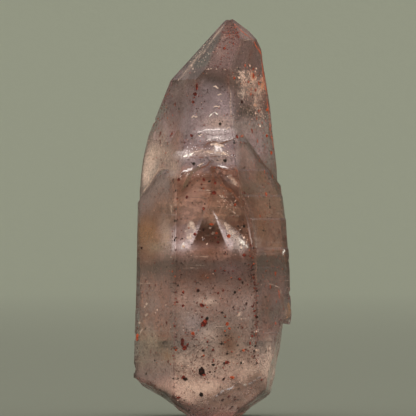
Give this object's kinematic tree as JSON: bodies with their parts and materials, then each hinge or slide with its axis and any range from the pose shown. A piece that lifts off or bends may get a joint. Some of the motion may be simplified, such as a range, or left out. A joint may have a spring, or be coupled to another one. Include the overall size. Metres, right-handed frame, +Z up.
{
  "type": "amethyst crystal point",
  "caption": "Natural six-sided amethyst point with a stepped overgrowth, a sloping-faced tip and a broken foot, standing upright as a display piece.",
  "frame": {"origin": "on the flat of the foot, under the middle of the crystal's outline", "axes": "+Z up along the crystal's long axis, -Y towards the widest clean prism face, +X to the right when that face is seen from the front"},
  "size_m": [0.0252, 0.0216, 0.0634],
  "materials": {
    "amethyst": "polished"
  },
  "bodies": {
    "root": {"amethyst_point": "amethyst"}
  },
  "joints": []
}
